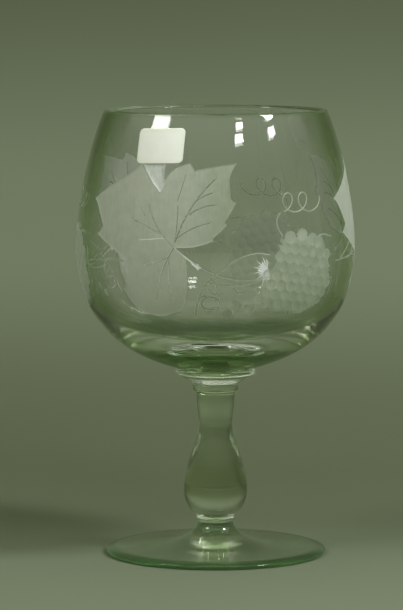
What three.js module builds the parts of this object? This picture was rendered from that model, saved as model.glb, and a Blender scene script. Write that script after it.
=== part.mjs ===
// Engraved goblet in millimetres, +Z up, standing on z = 0 with its axis on the Z axis.
// It is built as such a glass is: a spun foot, a small wafer, a solid baluster stem, a wider wafer
// and a blown bowl, each a gather of its own that is pressed hot onto the flat seat below it.
// The front of the glass faces -Y. A small paper label sticks under the rim, left of the front.

import * as THREE from "three";
import { mergeVertices } from "three/addons/utils/BufferGeometryUtils.js";

// Heights of the gathers, from the table up
const FOOT_HEIGHT = 16.4;
const COLLAR_HEIGHT = 4.0;
const STEM_HEIGHT = 67.4;
const MERESE_HEIGHT = 8.0;
const BOWL_HEIGHT = 133.4;

// Foot: a shallow cone with a rounded edge, hollowed underneath so that it stands on a flat ring
const FOOT_RADIUS = 56.9;
const FOOT_EDGE_THICKNESS = 3.4;
const FOOT_REST_WIDTH = 8.0;
const FOOT_HOLLOW = 1.5;
const FOOT_CONE_RUN = 28.0;
const FOOT_CONE_SLOPE = 2.6;
const FOOT_FLARE_REACH = 8.8;
const FOOT_NECK_RADIUS = 9.1;

// Collar: the small wafer between foot and stem
const COLLAR_RADIUS = 9.95;
const COLLAR_EDGE = 0.6;

// Stem: an inverted baluster, drawn in to a neck below a flanged head
const STEM_BELLY_RADIUS = 16.4;
const STEM_BELLY_RISE = 12.7;
const STEM_NECK_RADIUS = 8.57;
const STEM_NECK_RISE = 46.3;
const STEM_SHOULDER_RADIUS = 9.8;
const STEM_HEAD_RADIUS = 11.6;
const STEM_HEAD_THICKNESS = 3.6;
const STEM_HEAD_FILLET = 1.8;
const STEM_HEAD_EDGE = 0.5;
const STEM_BASE_TUCK = 3.2;
const STEM_BELLY_PULL_DOWN = 6.3;
const STEM_BELLY_PULL_UP = 12.0;
const STEM_NECK_PULL_DOWN = 8.0;
const STEM_NECK_PULL_UP = 5.5;
const STEM_SHOULDER_PULL = 6.3;

// Merese: the wide wafer under the bowl, a flat disc that is drawn in to the stem's head
const MERESE_RADIUS = 20.6;
const MERESE_EDGE = 1.4;
const MERESE_DISC_THICKNESS = 3.2;

// Bowl: the outer wall in two curves that meet at the belly, and the inner wall inside it
const BOWL_BELLY_RADIUS = 71.6;
const BOWL_BELLY_RISE = 64.2;
const BOWL_RIM_RADIUS = 57.5;
const BOWL_RIM_LEAN = 23.4;
const BOWL_LIP_THICKNESS = 3.0;
const BOWL_WALL = 2.9;
const BOWL_BASE_THICKNESS = 9.8;
const BOWL_SEAT_SLOPE = 18.2;
const BOWL_SEAT_RUN = 16.0;
const BOWL_LOWER_FULLNESS = 50.0;
const BOWL_RIM_RUN = 18.9;
const BOWL_FLOOR_RUN = 40.0;
const BOWL_INNER_FULLNESS = 45.0;

// Paper label, stuck to the outer wall
const LABEL_WIDTH = 25.4;
const LABEL_HEIGHT = 18.2;
const LABEL_CORNER = 2.6;
const LABEL_THICKNESS = 0.2;
const LABEL_CLEARANCE = 0.25;
const LABEL_CENTRE_BELOW_RIM = 15.9;
const LABEL_TURN_FROM_FRONT = -26.3;
const LABEL_SLANT = 1.8;

// Facets
const FACETS_AROUND = 60;
const LABEL_CORNER_STEPS = 4;
const LABEL_MIDDLE_STEPS = 8;
const LABEL_ROWS = 6;

// Seats: the planes on which one gather is pressed onto the next, and their shared radii
const COLLAR_SEAT = FOOT_HEIGHT;
const STEM_SEAT = COLLAR_SEAT + COLLAR_HEIGHT;
const MERESE_SEAT = STEM_SEAT + STEM_HEIGHT;
const BOWL_SEAT = MERESE_SEAT + MERESE_HEIGHT;
const RIM_TOP = BOWL_SEAT + BOWL_HEIGHT;
const COLLAR_SEAT_RADIUS = COLLAR_RADIUS - COLLAR_EDGE;
const MERESE_SEAT_RADIUS = STEM_HEAD_RADIUS - STEM_HEAD_EDGE;
const BOWL_SEAT_RADIUS = MERESE_RADIUS - MERESE_EDGE;

const at = (radius, height) => new THREE.Vector2(radius, height);

const radians = THREE.MathUtils.degToRad;

// The point that lies a distance away from another, in a direction given in degrees
function away(from, degrees, distance) {
  const angle = radians(degrees);
  return at(from.x + distance * Math.cos(angle), from.y + distance * Math.sin(angle));
}

// Points of a cubic curve
const bend = (start, pull, push, end, steps) =>
  new THREE.CubicBezierCurve(start, pull, push, end).getPoints(steps);

// Points of a circular arc, turned counter-clockwise between two angles in degrees
function round(centre, radius, from, to, steps) {
  const arc = new THREE.EllipseCurve(centre.x, centre.y, radius, radius, radians(from), radians(to));
  return arc.getPoints(steps);
}

// Turns an outline, given in order from the axis below to the axis above, about the Z axis
function revolve(outline) {
  const points = outline.filter((point, i) => i === 0 || point.distanceTo(outline[i - 1]) > 1e-6);
  const solid = new THREE.LatheGeometry(points, FACETS_AROUND);
  solid.rotateX(Math.PI / 2);
  return solid;
}

function footGeometry() {
  const edgeRadius = FOOT_EDGE_THICKNESS / 2;
  const edgeCentre = at(FOOT_RADIUS - edgeRadius, edgeRadius);
  const restInner = at(edgeCentre.x - FOOT_REST_WIDTH, 0);
  const hollowTop = at(0, FOOT_HOLLOW);
  const coneStart = away(edgeCentre, 90 - FOOT_CONE_SLOPE, edgeRadius);
  const neck = at(FOOT_NECK_RADIUS, COLLAR_SEAT);
  return revolve([
    ...bend(hollowTop, at(restInner.x / 2, FOOT_HOLLOW), at(restInner.x / 2, 0), restInner, 5),
    ...round(edgeCentre, edgeRadius, -90, 90 - FOOT_CONE_SLOPE, 5),
    ...bend(
      coneStart,
      away(coneStart, 180 - FOOT_CONE_SLOPE, FOOT_CONE_RUN),
      at(neck.x, neck.y - FOOT_FLARE_REACH),
      neck,
      10
    ),
    at(0, COLLAR_SEAT),
  ]);
}

function collarGeometry() {
  const middle = COLLAR_SEAT + COLLAR_HEIGHT / 2;
  const bottom = at(FOOT_NECK_RADIUS, COLLAR_SEAT);
  const top = at(COLLAR_SEAT_RADIUS, STEM_SEAT);
  const widest = at(COLLAR_RADIUS, middle);
  return revolve([
    at(0, COLLAR_SEAT),
    ...bend(bottom, at(COLLAR_RADIUS, COLLAR_SEAT), widest, widest, 3),
    ...bend(widest, at(COLLAR_RADIUS, STEM_SEAT), top, top, 3),
    at(0, STEM_SEAT),
  ]);
}

function stemGeometry() {
  const seat = at(COLLAR_SEAT_RADIUS, STEM_SEAT);
  const belly = at(STEM_BELLY_RADIUS, STEM_SEAT + STEM_BELLY_RISE);
  const neck = at(STEM_NECK_RADIUS, STEM_SEAT + STEM_NECK_RISE);
  const headUnderside = MERESE_SEAT - STEM_HEAD_THICKNESS;
  const shoulder = at(STEM_SHOULDER_RADIUS, headUnderside - STEM_HEAD_FILLET);
  const headCorner = at(STEM_HEAD_RADIUS, headUnderside);
  const headSide = at(STEM_HEAD_RADIUS, headUnderside + STEM_HEAD_EDGE);
  const headEdgeCentre = at(STEM_HEAD_RADIUS - STEM_HEAD_EDGE, MERESE_SEAT - STEM_HEAD_EDGE);
  return revolve([
    at(0, STEM_SEAT),
    ...bend(
      seat,
      at(STEM_BELLY_RADIUS - STEM_BASE_TUCK, STEM_SEAT),
      at(STEM_BELLY_RADIUS, belly.y - STEM_BELLY_PULL_DOWN),
      belly,
      7
    ),
    ...bend(
      belly,
      at(STEM_BELLY_RADIUS, belly.y + STEM_BELLY_PULL_UP),
      at(STEM_NECK_RADIUS, neck.y - STEM_NECK_PULL_DOWN),
      neck,
      8
    ),
    ...bend(
      neck,
      at(STEM_NECK_RADIUS, neck.y + STEM_NECK_PULL_UP),
      at(STEM_SHOULDER_RADIUS, shoulder.y - STEM_SHOULDER_PULL),
      shoulder,
      4
    ),
    ...bend(shoulder, at(shoulder.x, headUnderside), headCorner, headSide, 3),
    ...round(headEdgeCentre, STEM_HEAD_EDGE, 0, 90, 2),
    at(0, MERESE_SEAT),
  ]);
}

function mereseGeometry() {
  const bottom = at(MERESE_SEAT_RADIUS, MERESE_SEAT);
  const edgeCentre = at(BOWL_SEAT_RADIUS, BOWL_SEAT - MERESE_EDGE);
  const discUnderside = at(BOWL_SEAT_RADIUS, BOWL_SEAT - MERESE_DISC_THICKNESS);
  const edgeUnderside = at(MERESE_RADIUS, BOWL_SEAT - MERESE_EDGE);
  return revolve([
    at(0, MERESE_SEAT),
    ...bend(
      bottom,
      at(MERESE_SEAT_RADIUS + 2 * MERESE_EDGE, MERESE_SEAT + MERESE_EDGE / 2),
      at(discUnderside.x - 2 * MERESE_EDGE, discUnderside.y - MERESE_EDGE / 2),
      discUnderside,
      5
    ),
    ...bend(discUnderside, at(MERESE_RADIUS, discUnderside.y), edgeUnderside, edgeUnderside, 2),
    ...round(edgeCentre, MERESE_EDGE, 0, 90, 3),
    at(0, BOWL_SEAT),
  ]);
}

// The lip is half a circle, set square to the leaning wall
const LIP_RADIUS = BOWL_LIP_THICKNESS / 2;
const BELLY_HEIGHT = BOWL_SEAT + BOWL_BELLY_RISE;
const lipCentre = at(BOWL_RIM_RADIUS - LIP_RADIUS, RIM_TOP - LIP_RADIUS);
const bowlSeat = at(BOWL_SEAT_RADIUS, BOWL_SEAT);

// One wall of the bowl as two curves that meet at the belly: the lower one's controls are given,
// and the upper one starts with the pull that carries the same curvature through the belly
function bowlWall(bellyRadius, lowerEnd, lowerPull, fullness, lipSide) {
  const belly = at(bellyRadius, BELLY_HEIGHT);
  const rimPull = away(lipSide, BOWL_RIM_LEAN - 90, BOWL_RIM_RUN);
  const bends = (belly.x - rimPull.x) / (belly.x - lowerPull.x);
  const upperPull = fullness * Math.sqrt(Math.max(bends, 0));
  return {
    lower: new THREE.CubicBezierCurve(
      lowerEnd,
      lowerPull,
      at(belly.x, belly.y - fullness),
      belly
    ),
    upper: new THREE.CubicBezierCurve(belly, at(belly.x, belly.y + upperPull), rimPull, lipSide),
  };
}

const outerWall = bowlWall(
  BOWL_BELLY_RADIUS,
  bowlSeat,
  away(bowlSeat, BOWL_SEAT_SLOPE, BOWL_SEAT_RUN),
  BOWL_LOWER_FULLNESS,
  away(lipCentre, BOWL_RIM_LEAN, LIP_RADIUS)
);

function bowlGeometry() {
  const floor = BOWL_SEAT + BOWL_BASE_THICKNESS;
  const innerWall = bowlWall(
    BOWL_BELLY_RADIUS - BOWL_WALL,
    at(0, floor),
    at(BOWL_FLOOR_RUN, floor),
    BOWL_INNER_FULLNESS,
    away(lipCentre, BOWL_RIM_LEAN + 180, LIP_RADIUS)
  );
  return revolve([
    at(0, BOWL_SEAT),
    ...outerWall.lower.getPoints(12),
    ...outerWall.upper.getPoints(8),
    ...round(lipCentre, LIP_RADIUS, BOWL_RIM_LEAN, BOWL_RIM_LEAN + 180, 6),
    ...innerWall.upper.getPoints(8).reverse(),
    ...innerWall.lower.getPoints(10).reverse(),
  ]);
}

// How far along the outer upper wall, as a share of its length, a height is reached
function shareOfWallAt(height) {
  let low = 0;
  let high = 1;
  for (let i = 0; i < 40; i += 1) {
    const middle = (low + high) / 2;
    if (outerWall.upper.getPointAt(middle).y < height) low = middle;
    else high = middle;
  }
  return low;
}

// Column of the label's grid: its place across the label, and what the round corner takes off there
function labelColumn(index) {
  const last = 2 * LABEL_CORNER_STEPS + LABEL_MIDDLE_STEPS;
  const fromEnd = Math.min(index, last - index);
  const side = index < last / 2 ? -1 : 1;
  const straight = LABEL_WIDTH / 2 - LABEL_CORNER;
  if (fromEnd >= LABEL_CORNER_STEPS) {
    const share = (index - LABEL_CORNER_STEPS) / LABEL_MIDDLE_STEPS;
    return { across: straight * (2 * share - 1), inset: 0 };
  }
  const angle = (Math.PI / 2) * (1 - fromEnd / LABEL_CORNER_STEPS);
  return {
    across: side * (straight + LABEL_CORNER * Math.sin(angle)),
    inset: LABEL_CORNER * (1 - Math.cos(angle)),
  };
}

// A thin sheet with round corners, laid a little askew on the outer wall at the front of the glass
function labelGeometry() {
  const columns = 2 * LABEL_CORNER_STEPS + LABEL_MIDDLE_STEPS;
  const flat = new THREE.BoxGeometry(
    LABEL_WIDTH,
    LABEL_HEIGHT,
    LABEL_THICKNESS,
    columns,
    LABEL_ROWS,
    1
  );
  flat.deleteAttribute("normal");
  flat.deleteAttribute("uv");
  const sheet = mergeVertices(flat);
  const wallLength = outerWall.upper.getLength();
  const centreShare = shareOfWallAt(RIM_TOP - LABEL_CENTRE_BELOW_RIM);
  const slant = radians(LABEL_SLANT);
  const corners = sheet.attributes.position;
  for (let i = 0; i < corners.count; i += 1) {
    const column = labelColumn(Math.round((corners.getX(i) / LABEL_WIDTH + 0.5) * columns));
    const height = corners.getY(i) * (1 - (2 * column.inset) / LABEL_HEIGHT);
    const across = column.across * Math.cos(slant) - height * Math.sin(slant);
    const up = column.across * Math.sin(slant) + height * Math.cos(slant);
    const lift = corners.getZ(i) + LABEL_THICKNESS / 2 + LABEL_CLEARANCE;
    const share = centreShare + up / wallLength;
    const wall = outerWall.upper.getPointAt(share);
    const along = outerWall.upper.getTangentAt(share);
    const radius = wall.x + along.y * lift;
    const turn = across / wall.x;
    corners.setXYZ(i, radius * Math.sin(turn), -radius * Math.cos(turn), wall.y - along.x * lift);
  }
  return sheet;
}

const glass = {
  color: 0xdfeadf,
  roughness: 0.04,
  metalness: 0,
  transparent: true,
  opacity: 0.35,
};

function piece(name, geometry, finish) {
  const mesh = new THREE.Mesh(geometry, new THREE.MeshStandardMaterial(finish));
  mesh.name = name;
  return mesh;
}

const goblet = new THREE.Group();
goblet.add(
  piece("foot", footGeometry(), glass),
  piece("foot_collar", collarGeometry(), glass),
  piece("stem", stemGeometry(), glass),
  piece("merese", mereseGeometry(), glass),
  piece("bowl", bowlGeometry(), glass)
);

const label = piece("paper_label", labelGeometry(), { color: 0xf1f0ea, roughness: 0.8, metalness: 0 });
label.rotation.z = radians(LABEL_TURN_FROM_FRONT);
goblet.add(label);

export default goblet;
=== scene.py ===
import itertools
import math

import bmesh
import bpy
import numpy as np
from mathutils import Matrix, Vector, geometry, kdtree


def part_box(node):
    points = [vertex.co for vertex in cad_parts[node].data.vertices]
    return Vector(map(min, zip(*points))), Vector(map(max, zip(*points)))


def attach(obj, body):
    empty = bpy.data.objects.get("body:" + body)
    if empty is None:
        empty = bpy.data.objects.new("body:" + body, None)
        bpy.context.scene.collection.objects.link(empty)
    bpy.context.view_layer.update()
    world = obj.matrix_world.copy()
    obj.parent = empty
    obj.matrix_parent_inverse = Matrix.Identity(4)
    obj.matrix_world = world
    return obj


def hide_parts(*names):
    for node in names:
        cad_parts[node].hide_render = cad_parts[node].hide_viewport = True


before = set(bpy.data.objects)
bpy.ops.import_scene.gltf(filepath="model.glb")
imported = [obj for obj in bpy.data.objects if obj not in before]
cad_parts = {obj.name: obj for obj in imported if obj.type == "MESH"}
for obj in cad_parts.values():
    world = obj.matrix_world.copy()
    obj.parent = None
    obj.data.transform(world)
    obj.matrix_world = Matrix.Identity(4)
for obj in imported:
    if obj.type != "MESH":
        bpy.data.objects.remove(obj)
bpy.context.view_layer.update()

# An engraved goblet of clear glass: spun foot, collar, baluster stem, merese and a wide bowl that
# carries a frosted grapevine band, cut into its outer wall three times round, and a small paper label.
# Lengths are in millimetres until a mesh is made, and angles in degrees.
# The front faces -Y, and an azimuth is counted from the front towards +X.
# A place on the bowl's outer wall is its azimuth and its rise, the length along the wall from the belly.

MM = 0.001
BODY = "root"

# Lengths and bows under this count as none
TINY = 1e-6

# Steps round the axis: one step of the bowl is a whole part of the band's repeat
STEPS_ROUND = 192
BOWL_STEPS_ROUND = 240

# Foot
FOOT_RADIUS = 56.9
FOOT_EDGE_THICKNESS = 3.4
FOOT_REST_WIDTH = 8.0
FOOT_HOLLOW = 1.5
FOOT_CONE_RUN = 28.0
FOOT_CONE_SLOPE = 2.6
FOOT_SHOULDER_RUN = 4.0
FOOT_FLARE_REACH = 8.8
FOOT_NECK_RADIUS = 9.1

# Collar
COLLAR_RADIUS = 9.95
COLLAR_EDGE = 0.6

# Stem
STEM_BELLY_RADIUS = 16.4
STEM_BELLY_RISE = 12.7
STEM_NECK_RADIUS = 8.57
STEM_NECK_RISE = 46.3
STEM_SHOULDER_RADIUS = 9.8
STEM_HEAD_RADIUS = 11.6
STEM_HEAD_THICKNESS = 3.6
STEM_HEAD_FILLET = 1.8
STEM_HEAD_EDGE = 0.5
STEM_BASE_TUCK = 3.2
STEM_BELLY_PULL_DOWN = 6.3
STEM_BELLY_PULL_UP = 12.0
STEM_NECK_PULL_DOWN = 8.0
STEM_NECK_PULL_UP = 5.5
STEM_SHOULDER_PULL = 6.3

# Merese
MERESE_RADIUS = 20.6
MERESE_EDGE = 1.4
MERESE_DISC_THICKNESS = 3.2

# Bowl
BOWL_BELLY_RADIUS = 71.6
BOWL_BELLY_RISE = 64.2
BOWL_RIM_RADIUS = 57.5
BOWL_RIM_LEAN = 23.4
BOWL_LIP_THICKNESS = 3.0
BOWL_WALL = 2.9
BOWL_BASE_THICKNESS = 9.8
BOWL_SEAT_SLOPE = 18.2
BOWL_SEAT_RUN = 16.0
BOWL_LOWER_FULLNESS = 50.0
BOWL_RIM_RUN = 18.9
BOWL_FLOOR_RUN = 40.0
BOWL_INNER_FULLNESS = 45.0

# Paper label
LABEL_WIDTH = 25.4
LABEL_HEIGHT = 18.2
LABEL_CORNER = 2.6
LABEL_THICKNESS = 0.2
LABEL_GLUE_GAP = 0.03
LABEL_BELOW_RIM = 15.9
LABEL_AZIMUTH = -26.3
LABEL_SLANT = 1.8
LABEL_COLUMNS = 40
LABEL_ROWS = 30
LABEL_CORNER_STEPS = 8
LABEL_WEAR_WIDTH = 0.9

# Seats between the gathers, as the frame has them
COLLAR_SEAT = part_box("foot")[1].z / MM
STEM_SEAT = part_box("foot_collar")[1].z / MM
MERESE_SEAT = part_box("stem")[1].z / MM
BOWL_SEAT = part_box("merese")[1].z / MM
RIM_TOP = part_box("bowl")[1].z / MM
COLLAR_SEAT_RADIUS = COLLAR_RADIUS - COLLAR_EDGE
MERESE_SEAT_RADIUS = STEM_HEAD_RADIUS - STEM_HEAD_EDGE
BOWL_SEAT_RADIUS = MERESE_RADIUS - MERESE_EDGE


# Curves in the plane, each in a number of steps

def away(start, degrees, distance):
    """The point at a distance from another, in a direction given in degrees."""
    angle = math.radians(degrees)
    return (start[0] + distance * math.cos(angle), start[1] + distance * math.sin(angle))


def lifted(point, rise):
    """The point straight above another, or below it where the rise is negative."""
    return (point[0], point[1] + rise)


def bend(start, pull, push, end, steps):
    """Points of a cubic curve."""
    t = np.linspace(0, 1, steps + 1)[:, None]
    weights = ((1 - t) ** 3, 3 * t * (1 - t) ** 2, 3 * t ** 2 * (1 - t), t ** 3)
    return sum(w * np.array(p, float) for w, p in zip(weights, (start, pull, push, end)))


def rounded(centre, radius, start, end, steps, flattening=1.0):
    """Points of an arc between two angles in degrees, lower than it is wide by its flattening."""
    angles = np.radians(np.linspace(start, end, steps + 1))
    up = radius * flattening * np.sin(angles)
    return np.column_stack([centre[0] + radius * np.cos(angles), centre[1] + up])


def chain(*parts):
    """One run of points from several, each shared end kept once."""
    points = np.vstack([np.atleast_2d(part) for part in parts])
    apart = np.hypot(*np.diff(points, axis=0).T) > TINY
    return points[np.concatenate([[True], apart])]


def bowed(start, end, bow, pitch):
    """Points of an arc from start to end. Bow is its height over half its chord, positive to the left."""
    start, end = np.array(start, float), np.array(end, float)
    chord = end - start
    steps = max(2, math.ceil(np.hypot(*chord) / pitch))
    t = np.linspace(0, 1, steps + 1)[:, None]
    if abs(bow) < TINY:
        return start + t * chord
    left = np.array([-chord[1], chord[0]]) / 2
    angle = 4 * math.atan(bow)
    turn = (t - 0.5) * angle
    along = np.sin(turn) / (2 * math.sin(angle / 2))
    lift = (np.cos(turn) - math.cos(angle / 2)) / math.sin(angle / 2)
    return (start + end) / 2 + along * chord + lift * left


# Outlines of the turned pieces, from the axis below to the axis above

def foot_outline():
    edge = FOOT_EDGE_THICKNESS / 2
    edge_centre = (FOOT_RADIUS - edge, edge)
    rest_inner = (edge_centre[0] - FOOT_REST_WIDTH, 0)
    half_way = rest_inner[0] / 2
    side = (FOOT_RADIUS, edge)
    edge_top = away(edge_centre, 90 - FOOT_CONE_SLOPE, edge)
    cone_start = away(edge_top, 180 - FOOT_CONE_SLOPE, FOOT_SHOULDER_RUN)
    shoulder = away(cone_start, -FOOT_CONE_SLOPE, FOOT_SHOULDER_RUN / 2)
    cone_pull = away(cone_start, 180 - FOOT_CONE_SLOPE, FOOT_CONE_RUN - FOOT_SHOULDER_RUN)
    neck = (FOOT_NECK_RADIUS, COLLAR_SEAT)
    return chain(
        bend((0, FOOT_HOLLOW), (half_way, FOOT_HOLLOW), (half_way, 0), rest_inner, 16),
        rounded(edge_centre, edge, -90, 0, 8),
        bend(side, lifted(side, edge / 2), shoulder, cone_start, 12),
        bend(cone_start, cone_pull, lifted(neck, -FOOT_FLARE_REACH), neck, 40),
        (0, COLLAR_SEAT),
    )


def collar_outline():
    widest = (COLLAR_RADIUS, (COLLAR_SEAT + STEM_SEAT) / 2)
    bottom = (FOOT_NECK_RADIUS, COLLAR_SEAT)
    top = (COLLAR_SEAT_RADIUS, STEM_SEAT)
    return chain(
        (0, COLLAR_SEAT),
        bend(bottom, (COLLAR_RADIUS, COLLAR_SEAT), widest, widest, 8),
        bend(widest, (COLLAR_RADIUS, STEM_SEAT), top, top, 8),
        (0, STEM_SEAT),
    )


def stem_outline():
    seat = (COLLAR_SEAT_RADIUS, STEM_SEAT)
    tuck = (STEM_BELLY_RADIUS - STEM_BASE_TUCK, STEM_SEAT)
    belly = (STEM_BELLY_RADIUS, STEM_SEAT + STEM_BELLY_RISE)
    neck = (STEM_NECK_RADIUS, STEM_SEAT + STEM_NECK_RISE)
    corner = (STEM_HEAD_RADIUS, MERESE_SEAT - STEM_HEAD_THICKNESS)
    shoulder = (STEM_SHOULDER_RADIUS, corner[1] - STEM_HEAD_FILLET)
    edge_centre = (MERESE_SEAT_RADIUS, MERESE_SEAT - STEM_HEAD_EDGE)
    belly_top, neck_bottom = lifted(belly, STEM_BELLY_PULL_UP), lifted(neck, -STEM_NECK_PULL_DOWN)
    neck_top, shoulder_bottom = lifted(neck, STEM_NECK_PULL_UP), lifted(shoulder, -STEM_SHOULDER_PULL)
    return chain(
        (0, STEM_SEAT),
        bend(seat, tuck, lifted(belly, -STEM_BELLY_PULL_DOWN), belly, 22),
        bend(belly, belly_top, neck_bottom, neck, 28),
        bend(neck, neck_top, shoulder_bottom, shoulder, 14),
        bend(shoulder, (shoulder[0], corner[1]), corner, lifted(corner, STEM_HEAD_EDGE), 8),
        rounded(edge_centre, STEM_HEAD_EDGE, 0, 90, 5),
        (0, MERESE_SEAT),
    )


def merese_outline():
    bottom = (MERESE_SEAT_RADIUS, MERESE_SEAT)
    edge_centre = (BOWL_SEAT_RADIUS, BOWL_SEAT - MERESE_EDGE)
    disc = (BOWL_SEAT_RADIUS, BOWL_SEAT - MERESE_DISC_THICKNESS)
    edge = (MERESE_RADIUS, BOWL_SEAT - MERESE_EDGE)
    return chain(
        (0, MERESE_SEAT),
        bend(bottom, (bottom[0] + 2 * MERESE_EDGE, bottom[1] + MERESE_EDGE / 2),
             (disc[0] - 2 * MERESE_EDGE, disc[1] - MERESE_EDGE / 2), disc, 14),
        bend(disc, (MERESE_RADIUS, disc[1]), edge, edge, 5),
        rounded(edge_centre, MERESE_EDGE, 0, 90, 8),
        (0, BOWL_SEAT),
    )


LIP_RADIUS = BOWL_LIP_THICKNESS / 2
BELLY_HEIGHT = BOWL_SEAT + BOWL_BELLY_RISE
LIP_CENTRE = (BOWL_RIM_RADIUS - LIP_RADIUS, RIM_TOP - LIP_RADIUS)


def wall_curves(belly_radius, lower_end, lower_pull, fullness, lip_side):
    """Controls of one wall's lower and upper curve, which bend alike on both sides of the belly."""
    belly = (belly_radius, BELLY_HEIGHT)
    rim_pull = away(lip_side, BOWL_RIM_LEAN - 90, BOWL_RIM_RUN)
    bends = (belly_radius - rim_pull[0]) / (belly_radius - lower_pull[0])
    lower = (lower_end, lower_pull, lifted(belly, -fullness), belly)
    upper = (belly, lifted(belly, fullness * math.sqrt(bends)), rim_pull, lip_side)
    return lower, upper


class Wall:
    """The bowl's outer wall as a fine table of its curve, read by rise or by height."""

    FINE_STEPS = 1200

    def __init__(self):
        seat = (BOWL_SEAT_RADIUS, BOWL_SEAT)
        lower, upper = wall_curves(
            BOWL_BELLY_RADIUS, seat, away(seat, BOWL_SEAT_SLOPE, BOWL_SEAT_RUN),
            BOWL_LOWER_FULLNESS, away(LIP_CENTRE, BOWL_RIM_LEAN, LIP_RADIUS),
        )
        line = chain(bend(*lower, self.FINE_STEPS), bend(*upper, self.FINE_STEPS))
        lengths = np.concatenate([[0], np.cumsum(np.hypot(*np.diff(line, axis=0).T))])
        self.rises = lengths - lengths[self.FINE_STEPS]
        self.radii, self.heights = line.T
        slope = np.gradient(line, self.rises, axis=0)
        slope /= np.hypot(slope[:, 0], slope[:, 1])[:, None]
        self.outs = slope[:, 1]
        self.ups = -slope[:, 0]

    def radius(self, rise):
        return np.interp(rise, self.rises, self.radii)

    def height(self, rise):
        return np.interp(rise, self.rises, self.heights)

    def rise_at(self, height):
        return np.interp(height, self.heights, self.rises)

    def normal(self, azimuth, rise):
        """Directions out of the wall at azimuths in radians and rises."""
        out = np.interp(rise, self.rises, self.outs)
        up = np.interp(rise, self.rises, self.ups)
        return np.column_stack([out * np.sin(azimuth), -out * np.cos(azimuth), up])

    def place(self, azimuth, rise, lift=0.0):
        """Points at azimuths in radians and rises, lifted off the wall."""
        radius = self.radius(rise)
        points = np.column_stack([radius * np.sin(azimuth), -radius * np.cos(azimuth), self.height(rise)])
        return points + np.reshape(lift, (-1, 1)) * self.normal(azimuth, rise)


WALL = Wall()


# Node trees

NODE_SPACING = 190
NODE_COLUMNS = 9


def put(tree, kind, inputs=None, **settings):
    """Adds a node, sets it up and gives each named or numbered input a value or another node's output."""
    made = tree.nodes.new(kind)
    row, column = divmod(len(tree.nodes), NODE_COLUMNS)
    made.location = (NODE_SPACING * column, -NODE_SPACING * row)
    for name, value in settings.items():
        setattr(made, name, value)
    for key, value in (inputs or {}).items():
        socket = made.inputs[key]
        if isinstance(value, bpy.types.NodeSocket):
            tree.links.new(value, socket)
        else:
            socket.default_value = value
    return made


def new_group(name, kind, inputs, outputs):
    """An empty node group, its sockets given by name and type."""
    tree = bpy.data.node_groups.new(name, kind)
    for way, sockets in (("INPUT", inputs), ("OUTPUT", outputs)):
        for socket, socket_type in sockets:
            tree.interface.new_socket(socket, in_out=way, socket_type="NodeSocket" + socket_type)
    return tree


def calc(tree, operation, a, b=0.0):
    """Output of one math node."""
    return put(tree, "ShaderNodeMath", {0: a, 1: b}, operation=operation).outputs[0]


def mixed(tree, share, first, second, **settings):
    """Output of a colour mix."""
    node = put(tree, "ShaderNodeMix", {0: share, 6: first, 7: second}, data_type="RGBA", **settings)
    return node.outputs[2]


def mapped(tree, value, low, high, first=0.0, last=1.0, **settings):
    """A value carried from one range to another, and held at its ends."""
    node = put(tree, "ShaderNodeMapRange", {0: value, 1: low, 2: high, 3: first, 4: last}, **settings)
    return node.outputs[0]


def eased(tree, value, low, high, top=1.0):
    """0 up to one value and the top from another, eased between them."""
    return mapped(tree, value, low, high, 0.0, top, interpolation_type="SMOOTHSTEP")


def noise(tree, place, scale, detail, roughness=0.5):
    """Output of a noise texture."""
    inputs = {"Vector": place, "Scale": scale, "Detail": detail, "Roughness": roughness}
    return put(tree, "ShaderNodeTexNoise", inputs).outputs[0]


def swing(tree, value, amount):
    """How far a noise is to either side of its middle, times an amount."""
    return calc(tree, "MULTIPLY", calc(tree, "SUBTRACT", value, 0.5), amount)


def bumped(tree, height, strength, distance):
    inputs = {"Strength": strength, "Distance": distance, "Height": height}
    return put(tree, "ShaderNodeBump", inputs).outputs[0]


def surfaced(tree, inputs, kind="ShaderNodeBsdfPrincipled"):
    """Ends a material in one shader."""
    put(tree, "ShaderNodeOutputMaterial", {"Surface": put(tree, kind, inputs).outputs[0]})


# Turned meshes

POLE_WELD = 0.001
WHOLE_FACE = 0.9


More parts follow.
